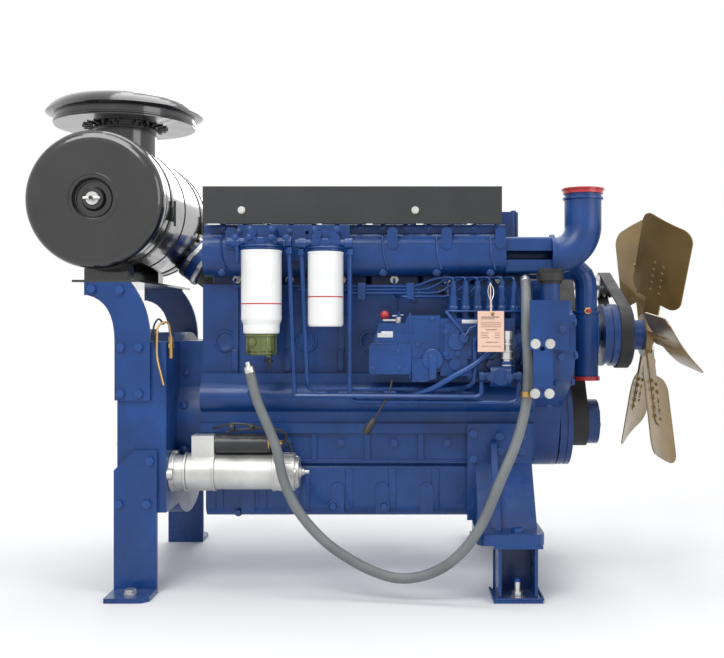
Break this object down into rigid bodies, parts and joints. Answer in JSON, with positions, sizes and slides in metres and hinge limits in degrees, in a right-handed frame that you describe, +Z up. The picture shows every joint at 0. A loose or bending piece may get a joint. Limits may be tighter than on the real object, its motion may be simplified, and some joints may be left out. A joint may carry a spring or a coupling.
{
  "type": "diesel engine",
  "caption": "Inline diesel engine with flywheel housing, fan, injection pump, starter, fuel filters and drum air cleaner on floor supports.",
  "frame": {"origin": "centre of the flywheel housing's pilot bore at its rear face, on the crankshaft axis", "axes": "+X along the crankshaft towards the fan, -Y towards the injection pump side, +Z up"},
  "size_m": [1.7957, 0.8408, 1.342],
  "materials": {
    "blue_paint": "glossy blue paint over castings and pressings",
    "black_paint": "satin black paint",
    "black_plastic": "matt black",
    "duct_rubber": "matt dark rubber",
    "coupling_rubber": "satin blue silicone rubber",
    "bright_steel": "zinc plated",
    "starter_alloy": "cast and machined, satin",
    "plain_steel": "machined, lightly oiled",
    "red_plastic": "glossy red",
    "cast_iron": "rough cast",
    "piston_alloy": "machined",
    "white_can": "glossy white enamel",
    "bowl_brass": "dull yellow green plating",
    "brass": "satin brass",
    "fan_paint": "glossy gold brown paint",
    "belt_rubber": "matt black rubber",
    "hose_rubber": "matt grey rubber",
    "pink_card": "pale pink card"
  },
  "bodies": {
    "engine": {"cylinder_block": "blue_paint", "cylinder_heads": "blue_paint", "rocker_covers": "blue_paint", "oil_pan": "blue_paint", "timing_case": "blue_paint", "timing_cover": "blue_paint", "flywheel_housing": "blue_paint", "rear_brackets": "blue_paint", "air_cleaner_drum": "black_paint", "air_cleaner_cover": "black_paint", "rain_cap": "black_paint", "air_duct": "duct_rubber", "duct_coupling": "coupling_rubber", "duct_clamps": "bright_steel", "intake_manifold": "blue_paint", "cover_plate": "black_paint", "turbo_housing": "cast_iron", "filter_bracket": "blue_paint", "water_separator": "white_can", "separator_bowl": "bowl_brass", "fuel_filter": "white_can", "fuel_pipes": "blue_paint", "injection_pump": "blue_paint", "governor": "blue_paint", "injector_pipes": "blue_paint", "injectors": "plain_steel", "starter_motor": "starter_alloy", "starter_solenoid": "black_paint", "front_supports": "blue_paint", "fixing_bolts": "bright_steel", "water_pump": "blue_paint", "water_inlet_cap": "red_plastic", "drive_belts": "belt_rubber", "alternator": "blue_paint", "hanging_hose": "hose_rubber", "hose_clip": "brass", "speed_sensor": "brass", "hang_tag": "pink_card", "oil_filters": "white_can"},
    "crank": {"crankshaft": "plain_steel", "crank_pulley": "blue_paint", "flywheel": "plain_steel"},
    "cam": {"camshaft": "plain_steel"},
    "idler": {"idler_gear": "plain_steel"},
    "pump_shaft": {"pump_drive": "plain_steel"},
    "belt_shaft": {"alternator_shaft": "plain_steel"},
    "fan": {"fan_pulley": "blue_paint", "fan_blades": "fan_paint"},
    "turbo": {"turbo_rotor": "piston_alloy"},
    "pistons_outer": {"pistons_a": "piston_alloy"},
    "pistons_second": {"pistons_b": "piston_alloy"},
    "pistons_middle": {"pistons_c": "piston_alloy"},
    "pinion": {"starter_pinion": "plain_steel"},
    "lever": {"governor_lever": "bright_steel", "lever_knob": "red_plastic"},
    "primer": {"primer_plunger": "bright_steel"},
    "drain": {"drain_knob": "black_plastic"},
    "filler_cap": {"oil_filler_cap": "black_plastic"},
    "nut": {"wing_nut": "bright_steel"},
    "port_cap": {"intake_cap": "red_plastic"}
  },
  "joints": [
    {"name": "crank_spin", "type": "hinge", "parent": "engine", "child": "crank", "pos_m": [0, 0, 0], "axis": [1, 0, 0], "continuous": true},
    {"name": "idler_spin", "type": "hinge", "parent": "engine", "child": "idler", "pos_m": [0, -0.05697, 0.15805], "axis": [1, 0, 0], "continuous": true},
    {"name": "cam_spin", "type": "hinge", "parent": "engine", "child": "cam", "pos_m": [0, 0.148, 0.0899], "axis": [1, 0, 0], "continuous": true},
    {"name": "pump_spin", "type": "hinge", "parent": "engine", "child": "pump_shaft", "pos_m": [0, -0.262, 0.226], "axis": [1, 0, 0], "continuous": true},
    {"name": "belt_shaft_spin", "type": "hinge", "parent": "engine", "child": "belt_shaft", "pos_m": [0, 0.236, 0.402], "axis": [1, 0, 0], "continuous": true},
    {"name": "fan_spin", "type": "hinge", "parent": "engine", "child": "fan", "pos_m": [0, 0, 0.251], "axis": [1, 0, 0], "continuous": true},
    {"name": "turbo_spin", "type": "hinge", "parent": "engine", "child": "turbo", "pos_m": [0, 0.294, 0.42], "axis": [1, 0, 0], "continuous": true},
    {"name": "pistons_outer_slide", "type": "slide", "parent": "engine", "child": "pistons_outer", "axis": [0, 0, 1], "range_m": [-0.13, 0]},
    {"name": "pistons_second_slide", "type": "slide", "parent": "engine", "child": "pistons_second", "axis": [0, 0, 1], "range_m": [-0.0259, 0.1041]},
    {"name": "pistons_middle_slide", "type": "slide", "parent": "engine", "child": "pistons_middle", "axis": [0, 0, 1], "range_m": [-0.0259, 0.1041]},
    {"name": "pinion_slide", "type": "slide", "parent": "engine", "child": "pinion", "axis": [-1, 0, 0], "range_m": [0, 0.024]},
    {"name": "lever_turn", "type": "hinge", "parent": "engine", "child": "lever", "pos_m": [0.74, -0.258, 0.29], "axis": [0, 0, 1], "range_deg": [-20, 25]},
    {"name": "primer_slide", "type": "slide", "parent": "engine", "child": "primer", "axis": [0, 0, 1], "range_m": [0, 0.024]},
    {"name": "drain_turn", "type": "hinge", "parent": "engine", "child": "drain", "pos_m": [0.39908, -0.2953, 0.18], "axis": [0, 0, 1], "range_deg": [0, 90]},
    {"name": "filler_cap_turn", "type": "hinge", "parent": "engine", "child": "filler_cap", "pos_m": [1.136, -0.292, 0.4], "axis": [0, 0, 1], "range_deg": [0, 90]},
    {"name": "nut_turn", "type": "hinge", "parent": "engine", "child": "nut", "pos_m": [-0.052, -0.33, 0.608], "axis": [0, 1, 0], "continuous": true},
    {"name": "port_cap_lift", "type": "slide", "parent": "engine", "child": "port_cap", "axis": [0, 0, 1], "range_m": [0, 0.04]}
  ],
  "couplings": [
    {"joint": "idler_spin", "follows": "crank_spin", "ratio": -0.4},
    {"joint": "cam_spin", "follows": "crank_spin", "ratio": 0.5},
    {"joint": "pump_spin", "follows": "crank_spin", "ratio": 0.5},
    {"joint": "belt_shaft_spin", "follows": "crank_spin", "ratio": 1.7297},
    {"joint": "fan_spin", "follows": "crank_spin", "ratio": 0.71111}
  ]
}
